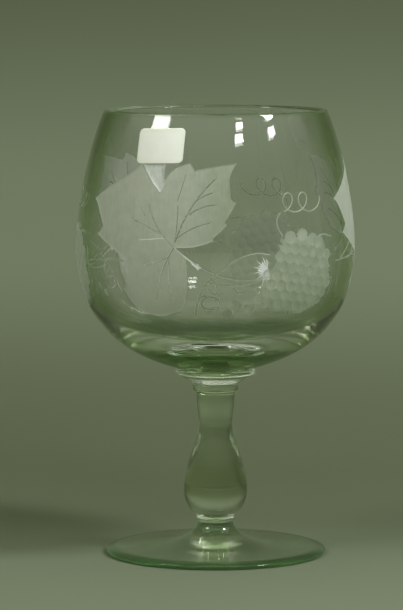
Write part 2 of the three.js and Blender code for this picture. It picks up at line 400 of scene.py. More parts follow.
def turned_tree():
    """Turns a chain of points in the XZ plane about the Z axis. Points with seat 1 bound a fused seat."""
    inputs = (("Outline", "Geometry"), ("Steps round", "Int"), ("Glass", "Material"), ("Seat", "Material"))
    tree = new_group("turned_on_the_axis", "GeometryNodeTree", inputs, (("Turned", "Geometry"),))
    given = put(tree, "NodeGroupInput").outputs

    def step(kind, inputs=None, **settings):
        return put(tree, "GeometryNode" + kind, inputs, **settings).outputs[0]

    outline, steps = given["Outline"], given["Steps round"]
    rows = put(tree, "GeometryNodeAttributeDomainSize", {"Geometry": outline}).outputs["Point Count"]
    grid = step("MeshGrid", {"Vertices X": calc(tree, "ADD", steps, 1.0), "Vertices Y": rows})
    index = step("InputIndex")
    column = calc(tree, "FLOOR", calc(tree, "DIVIDE", calc(tree, "ADD", index, 0.5), rows))
    row = calc(tree, "SUBTRACT", index, calc(tree, "MULTIPLY", column, rows))
    mark = step("InputNamedAttribute", {"Name": "seat"}, data_type="FLOAT")
    marked = step("SampleIndex", {"Geometry": outline, "Value": mark, "Index": row}, data_type="FLOAT")
    place = step("SampleIndex", {"Geometry": outline, "Value": step("InputPosition"), "Index": row},
                 data_type="FLOAT_VECTOR")
    parts = put(tree, "ShaderNodeSeparateXYZ", {0: place}).outputs
    angle = calc(tree, "MULTIPLY", calc(tree, "DIVIDE", column, steps), 2 * math.pi)
    spun = put(tree, "ShaderNodeCombineXYZ", {
        "X": calc(tree, "MULTIPLY", parts["X"], calc(tree, "COSINE", angle)),
        "Y": calc(tree, "MULTIPLY", parts["X"], calc(tree, "SINE", angle)),
        "Z": parts["Z"],
    }).outputs[0]
    moved = step("SetPosition", {"Geometry": grid, "Position": spun})
    kept = step("StoreNamedAttribute", {"Geometry": moved, "Name": "seat", "Value": marked},
                data_type="FLOAT", domain="POINT")
    welded = step("MergeByDistance", {"Geometry": kept, "Distance": POLE_WELD * MM})
    whole = put(tree, "GeometryNodeCaptureAttribute", {"Geometry": welded}, domain="FACE")
    whole.capture_items.new("FLOAT", "seat share")
    tree.links.new(mark, whole.inputs[1])
    is_seat = put(tree, "FunctionNodeCompare", {"A": whole.outputs[1], "B": WHOLE_FACE},
                  operation="GREATER_THAN", data_type="FLOAT").outputs[0]
    smooth = step("SetShadeSmooth", {"Geometry": whole.outputs[0], "Shade Smooth": True})
    flat = step("SetShadeSmooth", {"Geometry": smooth, "Selection": is_seat, "Shade Smooth": False})
    real = step("RealizeInstances", {"Geometry": flat})
    glass = step("SetMaterial", {"Geometry": real, "Material": given["Glass"]})
    seat = step("SetMaterial", {"Geometry": glass, "Selection": is_seat, "Material": given["Seat"]})
    put(tree, "NodeGroupOutput", {"Turned": seat})
    return tree


def link(name, data):
    made = bpy.data.objects.new(name, data)
    bpy.context.scene.collection.objects.link(made)
    return made


def turned_mesh(name, outline, seats, steps, tree, glass, seat):
    """A plain mesh turned from an outline. Seats are the heights of its fused seats, each a flat disc."""
    line = bpy.data.meshes.new(name + "_outline")
    last = len(outline) - 1
    line.from_pydata([(radius * MM, 0, height * MM) for radius, height in outline],
                     [(i, i + 1) for i in range(last)], [])
    on_seat = [0.0] * len(outline)
    for first, second in ((0, 1), (last - 1, last)):
        flat = abs(outline[first][1] - outline[second][1]) < TINY
        if flat and any(abs(outline[first][1] - height) < TINY for height in seats):
            on_seat[first] = on_seat[second] = 1.0
    line.attributes.new("seat", "FLOAT", "POINT").data.foreach_set("value", on_seat)
    blank = link(name + "_blank", line)
    lathe = blank.modifiers.new("turned", "NODES")
    lathe.node_group = tree
    values = {"Steps round": steps, "Glass": glass, "Seat": seat}
    for item in tree.interface.items_tree:
        if item.name in values:
            lathe[item.identifier] = values[item.name]
    bpy.context.view_layer.update()
    evaluated = blank.evaluated_get(bpy.context.evaluated_depsgraph_get())
    mesh = bpy.data.meshes.new_from_object(evaluated)
    mesh.name = name
    blank.modifiers.remove(lathe)
    bpy.data.objects.remove(blank)
    bpy.data.meshes.remove(line)
    return mesh


# Materials

def new_material(name):
    made = bpy.data.materials.new(name)
    made.use_nodes = True
    made.node_tree.nodes.clear()
    return made, made.node_tree


def object_place(tree):
    return put(tree, "ShaderNodeTexCoord").outputs["Object"]


WAVE_LENGTH = 20.0
WAVE_HEIGHT = 0.02
SMEAR_RANGE = (0.5, 0.75)
FILM_ROUGHNESS = 0.02


def blown_surface_group():
    """Slow waves of hot-worked glass and a faint film of handling, for every glass finish."""
    tree = new_group("blown_surface", "ShaderNodeTree", (), (("Height", "Float"), ("Roughness", "Float")))
    place = object_place(tree)
    wave = noise(tree, place, scale=1 / (WAVE_LENGTH * MM), detail=1.0, roughness=0.4)
    smear = noise(tree, place, scale=55.0, detail=4.0, roughness=0.6)
    film = mapped(tree, smear, *SMEAR_RANGE, 0.0, FILM_ROUGHNESS)
    put(tree, "NodeGroupOutput", {"Height": swing(tree, wave, WAVE_HEIGHT * MM), "Roughness": film})
    return tree


def height_share(tree, low, high):
    """0 below one height of the piece and 1 above another, eased between them."""
    z = put(tree, "ShaderNodeSeparateXYZ", {0: object_place(tree)}).outputs["Z"]
    return eased(tree, z, low * MM, high * MM)


def depth_share(tree, near, far):
    """0 in front of one distance behind the axis and 1 beyond another, eased between them."""
    y = put(tree, "ShaderNodeSeparateXYZ", {0: object_place(tree)}).outputs["Y"]
    return eased(tree, y, near * MM, far * MM)


def radius_share(tree, low, high):
    """0 within one distance from the axis and 1 beyond another, eased between them."""
    inputs = {0: object_place(tree), 1: (1.0, 1.0, 0.0)}
    flat = put(tree, "ShaderNodeVectorMath", inputs, operation="MULTIPLY").outputs[0]
    reach = put(tree, "ShaderNodeVectorMath", {0: flat}, operation="LENGTH").outputs["Value"]
    return eased(tree, reach, low * MM, high * MM)


# Glass. Along tints are for glass that is looked along, between two shares of facing away.
GLASS_IOR = 1.52
ALONG_START, ALONG_FULL = 0.40, 0.70
BOWL_ALONG_TINT = (0.44, 0.59, 0.29, 1.0)
STEM_ALONG_TINT = (0.50, 0.58, 0.40, 1.0)


def glass_material(name, surface, tint, along_tint=None, wear=None):
    """Clear glass. Tint gives, from nodes, the colour that it lets through, and wear its scuffs.

    The along tint is laid over that colour where the glass is looked along, and so is seen deepest.
    """
    made, tree = new_material(name)
    worked = put(tree, "ShaderNodeGroup", node_tree=surface).outputs
    rough = worked["Roughness"]
    if wear:
        rough = calc(tree, "ADD", rough, wear(tree))
    colour = tint(tree)
    if along_tint:
        facing = put(tree, "ShaderNodeLayerWeight", {"Blend": 0.5}).outputs["Facing"]
        along = mapped(tree, facing, ALONG_START, ALONG_FULL)
        colour = mixed(tree, along, colour, along_tint, blend_type="MULTIPLY")
    surfaced(tree, {
        "Base Color": colour, "Roughness": rough, "Normal": bumped(tree, worked["Height"], 1.0, 1.0),
        "IOR": GLASS_IOR, "Transmission Weight": 1.0,
    })
    return made


def seat_material():
    """Where two gathers are fused there is no surface, so light passes as it is."""
    made, tree = new_material("fused_seat")
    surfaced(tree, {"Color": (1.0, 1.0, 1.0, 1.0)}, "ShaderNodeBsdfTransparent")
    return made


THIN_TINT = (0.995, 0.998, 0.985, 1.0)
LIP_TINT = (0.80, 0.88, 0.74, 1.0)
LOW_TINT = (0.90, 0.95, 0.84, 1.0)
BASE_TINT = (0.10, 0.25, 0.04, 1.0)
NECK_TINT = (0.78, 0.85, 0.70, 1.0)
BELLY_TINT = (0.64, 0.72, 0.50, 1.0)
LOW_BELLY_TINT = (0.86, 0.92, 0.78, 1.0)
WAFER_TINT = (0.74, 0.85, 0.60, 1.0)
FOOT_TINT = (0.82, 0.92, 0.68, 1.0)
# The foot's edge is deeper green: partly the green of thick glass, partly painted shade for the dark line
# under its edge
FOOT_EDGE_TINT_AND_SHADE = (0.12, 0.32, 0.08, 1.0)
UNDERSIDE_ROUGHNESS = 0.22

# Heights and radii between which one tint gives way to the next
BASE_HEIGHTS = (BOWL_SEAT + 9.0, BOWL_SEAT + 16.0)
LOW_HEIGHTS = (BOWL_SEAT + 16.0, BOWL_SEAT + 36.0)
LIP_HEIGHTS = (RIM_TOP - 2.6, RIM_TOP - 0.8)
LOW_BELLY_HEIGHTS = (STEM_SEAT + 5.0, STEM_SEAT + 14.0)
FOOT_EDGE_TINT_AND_SHADE_RADII = (FOOT_RADIUS - 6.5, FOOT_RADIUS - 2.5)
UNDERSIDE_HEIGHTS = (FOOT_HOLLOW + 0.1, FOOT_HOLLOW + 0.4)
UNDERSIDE_RADII = (FOOT_RADIUS - 3.4, FOOT_RADIUS - 2.4)


def bowl_tint(tree):
    """Nearly clear where the wall is thin, greener over the thick base and at the lip."""
    base = mixed(tree, height_share(tree, *BASE_HEIGHTS), BASE_TINT, LOW_TINT)
    wall = mixed(tree, height_share(tree, *LOW_HEIGHTS), base, THIN_TINT)
    return mixed(tree, height_share(tree, *LIP_HEIGHTS), wall, LIP_TINT)


def stem_tint(tree):
    """The thicker the stem, the more its green shows, though less where the belly rounds in below."""
    thick = mixed(tree, radius_share(tree, STEM_NECK_RADIUS, STEM_BELLY_RADIUS), NECK_TINT, BELLY_TINT)
    return mixed(tree, height_share(tree, *LOW_BELLY_HEIGHTS), LOW_BELLY_TINT, thick)


def wafer_tint(tree):
    return mixed(tree, radius_share(tree, MERESE_SEAT_RADIUS, MERESE_RADIUS), NECK_TINT, WAFER_TINT)


def foot_tint_and_edge_shade(tree):
    # Painted shade in part: the edge's deeper green
    return mixed(tree, radius_share(tree, *FOOT_EDGE_TINT_AND_SHADE_RADII), FOOT_TINT, FOOT_EDGE_TINT_AND_SHADE)


def foot_wear(tree):
    """The underside of the foot is dull from being ground and set down."""
    under = calc(tree, "SUBTRACT", 1.0, height_share(tree, *UNDERSIDE_HEIGHTS))
    within = calc(tree, "SUBTRACT", 1.0, radius_share(tree, *UNDERSIDE_RADII))
    return calc(tree, "MULTIPLY", calc(tree, "MULTIPLY", under, within), UNDERSIDE_ROUGHNESS)


# Painted light on the frost's inner side: how much paler, and to what colour
PAINTED_INNER_LIGHT = 0.8
PAINTED_LIT_FROST = (1.0, 1.0, 0.96, 1.0)
STROKE_STRETCH = (1.0, 0.12, 1.0)
FROST_SWING = 0.8
TOOTH = 0.04


def cut_material(name, through, darkest, whitest, smoothest, roughest):
    """Ground glass. The tone attribute is low where its frost is faint and high where it is white.

    Seen through the glass, from its inner side, it is painted paler: painted light that stands in for lamp
    light reaching the frost through the glass.
    """
    made, tree = new_material(name)
    tone = put(tree, "ShaderNodeAttribute", attribute_name="cut_tone").outputs["Fac"]
    place = put(tree, "ShaderNodeUVMap", uv_map="along_the_wall").outputs[0]
    stretched = put(tree, "ShaderNodeMapping", {"Vector": place, "Scale": STROKE_STRETCH}).outputs[0]
    strokes = noise(tree, stretched, scale=900.0, detail=3.0, roughness=0.6)
    clouds = noise(tree, place, scale=210.0, detail=4.0)
    grain = noise(tree, place, scale=1500.0, detail=2.0)
    uneven = calc(tree, "ADD", swing(tree, strokes, FROST_SWING), swing(tree, clouds, FROST_SWING))
    whole = put(tree, "ShaderNodeClamp", {0: calc(tree, "ADD", tone, uneven)}).outputs[0]
    outer = mixed(tree, whole, darkest, whitest)
    backing = put(tree, "ShaderNodeNewGeometry").outputs["Backfacing"]
    surfaced(tree, {
        # Painted light: the frost's inner side takes a paler colour
        "Base Color": mixed(tree, calc(tree, "MULTIPLY", backing, PAINTED_INNER_LIGHT), outer, PAINTED_LIT_FROST),
        "Roughness": mapped(tree, whole, 0.0, 1.0, smoothest, roughest),
        "Normal": bumped(tree, grain, 0.5, TOOTH * MM),
        "IOR": GLASS_IOR, "Transmission Weight": through,
    })
    return made


PAPER_COLOUR = (0.95, 0.97, 0.90, 1.0)
AGED_PAPER_COLOUR = (0.74, 0.76, 0.62, 1.0)
FIBRE_COLOUR = (0.60, 0.60, 0.50, 1.0)
EDGE_AGE = 0.55
BLOTCH_AGE = 0.35
FIBRE_SHARE = 0.12
PAPER_ROUGHNESS = (0.62, 0.86)

# What a noise mostly keeps to
NOISE_RANGE = (0.3, 0.7)


def paper_material():
    """Matt label paper: fibres, a slight yellowing from the edges and a soft tooth."""
    made, tree = new_material("label_paper")
    place = object_place(tree)
    fibres = noise(tree, place, scale=2600.0, detail=4.0, roughness=0.7)
    blotch = noise(tree, place, scale=160.0, detail=3.0)
    edge = put(tree, "ShaderNodeAttribute", attribute_name="edge_wear").outputs["Fac"]
    worn = calc(tree, "MULTIPLY", edge, EDGE_AGE)
    blotched = calc(tree, "MULTIPLY", blotch, BLOTCH_AGE)
    aged = put(tree, "ShaderNodeClamp", {0: calc(tree, "ADD", worn, blotched)}).outputs[0]
    paper = mixed(tree, aged, PAPER_COLOUR, AGED_PAPER_COLOUR)
    surfaced(tree, {
        "Base Color": mixed(tree, calc(tree, "MULTIPLY", fibres, FIBRE_SHARE), paper, FIBRE_COLOUR),
        "Roughness": mapped(tree, fibres, *NOISE_RANGE, *PAPER_ROUGHNESS),
        "Normal": bumped(tree, fibres, 0.4, TOOTH * MM),
    })
    return made


# The grapevine, in mm across from the front and mm of rise, each at true length on the wall

PITCH = 0.7
BAND_LOW = -37.0
BAND_HIGH = 50.0
SECTOR_START = -64.5
REPEATS = 3

# Corners of the leaf, clockwise from its left tip, each with the bow of the edge that leaves it
LEAF = (
    (-74.1, 25.5, 0.00), (-51.8, 36.9, -0.06), (-39.0, 45.2, -0.05), (-28.6, 30.2, 0.32), (-12.6, 45.4, 0.00),
    (-10.6, 41.5, 0.04), (10.4, 45.3, -0.14), (6.6, 37.0, 0.00), (7.2, 28.4, -0.22), (9.9, 25.6, 0.02),
    (4.3, 16.2, -0.10), (5.3, 14.6, 0.03), (-1.8, 7.9, -0.10), (-1.3, 6.8, 0.14), (-20.5, 3.3, 0.00),
    (-15.0, -2.4, 0.10), (-16.6, -26.6, -0.08), (-16.8, -28.6, 0.05), (-27.4, -32.4, 0.10),
    (-41.4, -29.6, -0.12), (-43.6, -27.0, 0.10), (-49.8, -18.4, -0.10), (-47.4, -11.4, 0.02),
    (-49.1, -3.1, 0.02), (-70.0, 8.0, -0.10), (-65.4, 12.4, 0.00), (-70.2, 21.6, -0.14),
)

# The lobe that is folded over at the top of the leaf
FOLD = (
    (-39.4, 46.2, 0.04), (-33.4, 35.6, 0.04), (-28.8, 29.9, 0.00), (-26.2, 33.6, 0.06), (-25.6, 44.8, 0.00),
)

# Veins: start, end, bow, and width at each end
VEINS = (
    ((-21.4, 3.4), (-34.8, 24.4), 0.17, 0.95, 0.50),
    ((-21.0, 5.4), (-19.3, 24.6), -0.03, 0.75, 0.50),
    ((-21.0, 5.8), (-0.2, 37.6), 0.12, 1.00, 0.50),
    ((-13.4, 19.6), (-0.2, 24.4), 0.18, 0.75, 0.50),
    ((-10.2, 26.4), (-1.4, 30.6), 0.10, 0.70, 0.50),
    ((-19.6, 8.2), (-2.8, 15.8), 0.12, 0.75, 0.50),
    ((-26.4, 8.6), (-45.2, 17.0), -0.04, 0.75, 0.50),
    ((-36.9, 18.4), (-43.9, 28.4), -0.05, 0.70, 0.50),
    ((-21.6, 3.0), (-28.6, -11.0), -0.05, 0.90, 0.50),
    ((-24.2, -2.6), (-24.0, -12.8), 0.03, 0.65, 0.45),
    ((-23.6, -1.2), (-37.6, -6.0), 0.05, 0.70, 0.50),
    ((-19.8, 26.0), (-15.0, 40.5), -0.02, 0.55, 0.40),
    ((-28.6, -11.6), (-31.0, -24.0), 0.04, 0.55, 0.40),
    ((-24.0, -13.6), (-22.4, -24.6), 0.02, 0.55, 0.40),
)

# Deeper cuts, painted whitest: the end of the leaf's stalk at the twig, the stalk, and the rib that the light
# catches. Their white is partly the frost of a deep cut and partly a painted highlight.
RIBS = (
    ((-12.2, -3.9), (-8.7, -6.3), 0.00, 1.50, 2.40),
    ((-10.4, -5.1), (-21.4, 3.4), 0.02, 0.95, 0.60),
    ((-26.8, 8.0), (-39.8, 6.8), 0.03, 0.60, 0.30),
)

STRAND_WIDTH = 0.7
VINE_RISE = 0.5
COIL_LEAD = 0.9
COIL_STEPS = 34


def coil(first, spacing, turns, half_width, half_height, middle):
    """A tendril that runs on in tall loops, like a row of written ells."""
    t = np.linspace(-COIL_LEAD * math.pi, (2 * turns - COIL_LEAD) * math.pi, int(turns * COIL_STEPS))
    across = first + spacing * t / (2 * math.pi) - (half_width + spacing / 4) * np.sin(t)
    return np.column_stack([across, middle + half_height * np.cos(t)])


def strands():
    """Twigs and tendrils as centre lines."""
    joint = (25.4, -11.6)
    return [
        bend((-10.4, -5.1), (-2.0, -9.6), (12.0, -16.0), joint, 50),
        bend((-6.2, -13.6), (4.0, -16.4), (16.0, -16.4), joint, 44),
        bend((-10.2, -32.0), (-9.6, -17.0), (-3.2, -12.0), (4.6, -6.4), 42),
        bend((4.6, -6.4), (11.0, -1.8), (18.0, 2.6), (27.6, -0.6), 34),
        chain(bend((-8.9, -23.4), (-8.2, -21.4), (-6.0, -20.6), (-3.6, -21.4), 10),
              rounded((-2.8, -25.0), 4.5, 100, -250, 28, flattening=3.3 / 4.5)),
        bend((-4.6, -16.2), (-2.6, -20.6), (0.2, -21.0), (3.6, -19.2), 14),
        bend((8.2, -16.6), (9.8, -19.6), (12.0, -20.4), (14.6, -18.8), 12),
        bend((-3.4, -12.2), (-0.6, -13.4), (0.8, -15.8), (0.2, -19.6), 12),
        coil(37.2, 9.2, 2.3, 2.5, 4.8, 25.2),
        bend((56.4, 7.4), (60.0, 9.4), (64.0, 7.6), (67.8, 6.9), 18),
        bend((34.8, 8.6), (31.0, 12.0), (29.6, 17.0), (33.2, 20.4), 22),
        bend((-78.6, -5.6), (-70.0, -5.6), (-58.0, -2.6), (-49.6, -4.8), 40),
        bend((-74.0, -4.4), (-69.0, -2.6), (-65.4, 0.0), (-61.4, 3.0), 20),
        bend((-68.0, -5.0), (-62.0, -5.4), (-57.6, -3.6), (-55.6, -0.4), 18),
    ]


# Short cuts that fan out where the cluster hangs from its twig, tips turned on, every other one shorter.
# Their white frost is partly a painted highlight.
FAN_CENTRE = (26.2, -8.0)
FAN_ANGLES = (96, 112, 126, 140, 153, 166, 178, 190, 203, 217, 231, 246, 262, 282)
FAN_START = 0.8
FAN_REACH = 7.4
FAN_SHORT_SHARE = 0.7
FAN_TURN = 2
FAN_WIDTHS = (1.0, 0.3)

GRAPE_RADIUS = 2.75
GRAPE_PITCH = 5.5
GRAPE_STRAY = 0.3
GRAPE_TURN = -9.0
GRAPE_ROWS = 14
GRAPE_SEED = 7
RING_SEED = 3
FIRST_GRAPE = (36.4, 2.6)
CLUSTER_TOP = 6.0
CLUSTER_LOW = -32.0
CLUSTER = ((33.4, 4.2), (47.0, 4.8), (58.6, 4.4), (64.6, -2.0), (66.2, -15.0), (60.0, -25.6),
           (45.6, -32.0), (28.0, -29.6), (20.6, -22.0), (23.4, -13.0), (31.4, -4.0))
TOP_GRAPES = ((38.8, 7.8), (46.0, 8.9), (52.8, 6.3))
TOP_GRAPE_RADIUS = 3.2
LOOSE_GRAPES = ((5.6, -30.8), (10.1, -26.3), (16.2, -28.7), (21.6, -23.2))

LEAF_DEPTH = 0.22
BEVEL = 0.55
VEIN_DEPTH = 0.09
STRAND_DEPTH = 0.16
GRAPE_DEPTH = 0.30

# How white the frost is, from 0 to 1: more so at the leaf's margin and low down. The right lobe is painted
# darker, a painted shade against the light from the right.
LEAF_TONE = 0.78
MARGIN_TONE = 0.14
MARGIN_WIDTH = 1.6
LOW_LEAF_TONE = 0.26
LOW_LEAF_RUN = 25
RIGHT_LOBE_PAINTED_SHADE = -0.60
RIGHT_SHADE_START = -14
RIGHT_SHADE_RUN = 20
FOLD_TONE = 0.52
BESIDE_VEIN_TONE = 0.08
BESIDE_VEIN_REACH = 2.6
# The whitest frost, partly a painted highlight on the ribs and the fan
DEEP_CUT_AND_HIGHLIGHT_TONE = 1.0
STRAND_TONE = 0.30
GRAPE_TONE = 0.12
HIGH_GRAPE_TONE = 0.14
GRAPE_TONE_STRAY = 0.06
SINGLE_GRAPE_TONE = 0.34

# A grape is whiter outside this share of its radius, and some have a white ring round the middle
GRAPE_EDGE = 0.72
GRAPE_EDGE_TONE = 0.18
RINGED_GRAPES = 0.35
RING_SHARE = 0.36
RING_HALF_WIDTH = 0.12
RING_TONE = 0.3


def closed_outline(corners):
    """Points round a closed outline of bowed edges, without the last one, which is the first."""
    ends = corners[1:] + corners[:1]
    return np.vstack([bowed(a[:2], b[:2], a[2], PITCH)[:-1] for a, b in zip(corners, ends)])


def inside(points, outline):
    """Whether each point lies within a closed outline."""
    order = np.argsort(points[:, 1])
    across, up = points[order].T
    odd = np.zeros(len(points), bool)
    for (ax, ay), (bx, by) in zip(outline, np.roll(outline, -1, axis=0)):
        low, high = np.searchsorted(up, (min(ay, by), max(ay, by)))
        if high > low:
            odd[low:high] ^= across[low:high] < ax + (up[low:high] - ay) * (bx - ax) / (by - ay)
    return odd[np.argsort(order)]


def gap_to(points, starts, ends, reach):
    """Distance of each point to the nearest of several lines, up to a reach, which line and how far along."""
    order = np.argsort(points[:, 0])
    sorted_points = points[order]
    gap = np.full(len(points), float(reach))
    which = np.zeros(len(points), int)
    share = np.zeros(len(points))
    for i, (a, b) in enumerate(zip(starts, ends)):
        window = (min(a[0], b[0]) - reach, max(a[0], b[0]) + reach)
        low, high = np.searchsorted(sorted_points[:, 0], window)
        line = b - a
        offset = sorted_points[low:high] - a
        t = np.clip((offset @ line) / max(line @ line, 1e-12), 0, 1)
        distance = np.hypot(*(offset - t[:, None] * line).T)
        nearer = np.nonzero(distance < gap[low:high])[0]
        gap[low + nearer] = distance[nearer]
        which[low + nearer] = i
        share[low + nearer] = t[nearer]
    back = np.argsort(order)
    return gap[back], which[back], share[back]


EDGE_REACH = 6.0


def edge_gap(points, outline):
    """Distance of each point to a closed outline, up to a reach."""
    return gap_to(points, outline, np.roll(outline, -1, axis=0), EDGE_REACH)[0]


def bevelled(gap):
    """Depth of a leaf at a distance from its edge."""
    return LEAF_DEPTH * np.clip(gap / BEVEL, 0, 1)


def unit_rows(rows):
    return rows / np.hypot(rows[:, 0], rows[:, 1])[:, None]


class Strokes:
    """Cuts along lines, each with its own width at both ends."""

    REACH = 2.5

    def __init__(self, lines, widths):
        self.lines = lines
        self.halves = [np.linspace(*ends, len(line)) / 2 for line, ends in zip(lines, widths)]
        self.starts = np.vstack([line[:-1] for line in lines])
        self.ends = np.vstack([line[1:] for line in lines])
        self.first_half = np.concatenate([half[:-1] for half in self.halves])
        self.second_half = np.concatenate([half[1:] for half in self.halves])

    def reach(self, points):
        """Distance from the nearest line as a share of the cut's half width there: 1 is its edge."""
        gap, which, share = gap_to(points, self.starts, self.ends, self.REACH)
        return gap / (self.first_half[which] * (1 - share) + self.second_half[which] * share)

    def rails(self):
        """Left edge, middle and right edge of each cut, as lines for the mesh."""
        for line, half in zip(self.lines, self.halves):
            along = unit_rows(np.gradient(line, axis=0))
            aside = (np.column_stack([-along[:, 1], along[:, 0]]) * half[:, None])[1:-1]
            yield chain(line[0], line[1:-1] + aside, line[-1])
            yield line
            yield chain(line[0], line[1:-1] - aside, line[-1])


def arcs(table):
    return Strokes([bowed(*row[:3], PITCH) for row in table], [row[3:] for row in table])


def fan_cut(number, angle):
    reach = FAN_REACH * (1 if number % 2 else FAN_SHORT_SHARE)
    return np.array([
        away(FAN_CENTRE, angle, FAN_START),
        away(FAN_CENTRE, angle, FAN_START + FAN_REACH / 2),
        away(FAN_CENTRE, angle + FAN_TURN, FAN_START + reach),
    ])


def grapes():
    """Centres, radii and tones: close rows inside the cluster, three large grapes and a few loose ones."""
    along = np.array(away((0, 0), GRAPE_TURN, GRAPE_PITCH))
    down = np.array(away((0, 0), GRAPE_TURN - 60, GRAPE_PITCH))
    steps = range(-GRAPE_ROWS, GRAPE_ROWS + 1)
    rows = np.array([np.array(FIRST_GRAPE) + i * along + j * down for j in steps for i in steps])
    rows = rows[inside(rows, np.array(CLUSTER))]
    chosen = np.random.default_rng(GRAPE_SEED)
    rows = rows + chosen.uniform(-GRAPE_STRAY, GRAPE_STRAY, rows.shape)
    height = np.clip((rows[:, 1] - CLUSTER_LOW) / (CLUSTER_TOP - CLUSTER_LOW), 0, 1)
    stray = chosen.uniform(-GRAPE_TONE_STRAY, GRAPE_TONE_STRAY, len(rows))
    places = np.vstack([rows, TOP_GRAPES, LOOSE_GRAPES])
    radii = np.full(len(places), GRAPE_RADIUS)
    radii[len(rows):len(rows) + len(TOP_GRAPES)] = TOP_GRAPE_RADIUS
    tones = np.full(len(places), SINGLE_GRAPE_TONE)
    tones[:len(rows)] = GRAPE_TONE + HIGH_GRAPE_TONE * height + stray
    return places, radii, tones


class Vine:
    """Everything that is cut into one repeat of the band."""

    CLEAR, FROST, VEIN, DEEP = 0, 1, 2, 3

    def __init__(self):
        self.leaf = closed_outline(LEAF)
        self.fold = closed_outline(FOLD)
        self.veins = arcs(VEINS)
        self.ribs = arcs(RIBS)
        self.fan = Strokes([fan_cut(i, a) for i, a in enumerate(FAN_ANGLES)], [FAN_WIDTHS] * len(FAN_ANGLES))
        lines = strands()
        self.strands = Strokes(lines, [(STRAND_WIDTH, STRAND_WIDTH)] * len(lines))
        self.cluster = np.array([(x, y + TOP_GRAPE_RADIUS if y > 0 else y) for x, y in CLUSTER])
        self.grapes, self.radii, self.shade = grapes()
        self.ringed = np.random.default_rng(RING_SEED).random(len(self.grapes)) < RINGED_GRAPES

    def nearest_grape(self, points):
        """Which grape each point is nearest to, and how far out on it, as a share of its radius."""
        apart = points[:, None, :] - self.grapes[None, :, :]
        shares = np.hypot(apart[:, :, 0], apart[:, :, 1]) / self.radii
        which = shares.argmin(axis=1)
        return which, shares[np.arange(len(points)), which]

    def kind(self, points):
        """What each place on the wall is: clear, frosted, or a polished vein in the frost."""
        kind = np.full(len(points), self.CLEAR)
        kind[inside(points, self.leaf)] = self.FROST
        kind[(self.veins.reach(points) < 1) & (kind == self.FROST)] = self.VEIN
        kind[inside(points, self.fold)] = self.DEEP
        kind[inside(points, self.cluster)] = self.FROST
        kind[self.nearest_grape(points)[1] < 1] = self.FROST
        kind[self.strands.reach(points) < 1] = self.FROST
        kind[(self.ribs.reach(points) < 1) | (self.fan.reach(points) < 1)] = self.DEEP
        return kind

    def depth_and_tone(self, points):
        """How deep the cut is at each place, in mm, and how white its frost looks, from 0 to 1."""
        depth = np.zeros(len(points))
        tone = np.zeros(len(points))
        leaf = inside(points, self.leaf)
        gap = edge_gap(points[leaf], self.leaf)
        across, up = points[leaf].T
        depth[leaf] = bevelled(gap)
        tone[leaf] = LEAF_TONE + MARGIN_TONE * np.exp(-gap / MARGIN_WIDTH)
        tone[leaf] += LOW_LEAF_TONE * np.clip(-up / LOW_LEAF_RUN, 0, 1)
        # Painted shade: the frost darkens across the right lobe
        tone[leaf] += RIGHT_LOBE_PAINTED_SHADE * np.clip((across - RIGHT_SHADE_START) / RIGHT_SHADE_RUN, 0, 1)
        fold = inside(points, self.fold)
        beyond_leaf = fold & ~leaf
        depth[beyond_leaf] = bevelled(edge_gap(points[beyond_leaf], self.fold))
        tone[fold] = FOLD_TONE
        vein = self.veins.reach(points)
        grooved = leaf & (vein < 1)
        depth[grooved] += VEIN_DEPTH * (1 - vein[grooved])
        tone[leaf & (vein >= 1) & (vein < BESIDE_VEIN_REACH)] += BESIDE_VEIN_TONE
        for strokes in (self.ribs, self.fan):
            reach = strokes.reach(points)
            cut = reach < 1
            depth[cut] += STRAND_DEPTH * (1 - reach[cut])
            # Painted highlight in part: ribs and fan take the whitest frost
            tone[cut] = DEEP_CUT_AND_HIGHLIGHT_TONE
        strand = self.strands.reach(points)
        cut = strand < 1
        depth[cut] = np.maximum(depth[cut], STRAND_DEPTH * (1 - strand[cut]))
        tone[cut] = np.maximum(tone[cut], STRAND_TONE)
        which, reach = self.nearest_grape(points)
        between = inside(points, self.cluster) & (reach >= 1)
        tone[between] = np.maximum(tone[between], self.shade[which[between]])
        cut = reach < 1
        depth[cut] = np.maximum(depth[cut], GRAPE_DEPTH * (1 - reach[cut] ** 2))
        edge = np.clip((reach[cut] - GRAPE_EDGE) / (1 - GRAPE_EDGE), 0, 1)
        ring = self.ringed[which[cut]] & (np.abs(reach[cut] - RING_SHARE) < RING_HALF_WIDTH)
        tone[cut] = self.shade[which[cut]] + GRAPE_EDGE_TONE * edge + RING_TONE * ring
        return depth, tone


# The band's plan is in mm across at the belly's radius and mm of rise, so it is wider than the drawing

def drawn_place(places):
    """Where places of the band's plan lie in the drawing of the vine."""
    across = places[:, 0] * WALL.radius(places[:, 1]) / BOWL_BELLY_RADIUS
    return np.column_stack([across, places[:, 1] - VINE_RISE])


def plan_place(drawn):
    """Where places of the drawing lie in the band's plan."""
    across, up = np.transpose(drawn)
    rise = up + VINE_RISE
    return np.column_stack([across * BOWL_BELLY_RADIUS / WALL.radius(rise), rise])


# Circles of points on each grape: share of its radius, and how many
GRAPE_CIRCLES = ((1.0, 22), (0.78, 22), (0.42, 12))
BORDER_PITCH = 1.9
LEAF_PITCH, LEAF_CLEARANCE = 1.25, 0.55
OPEN_PITCH, OPEN_CLEARANCE = 2.1, 1.0
ROW_SHARE = 0.87
FIRST_ROW_SHARE = 0.9
WHOLE_BEVEL_SHARE = 0.97


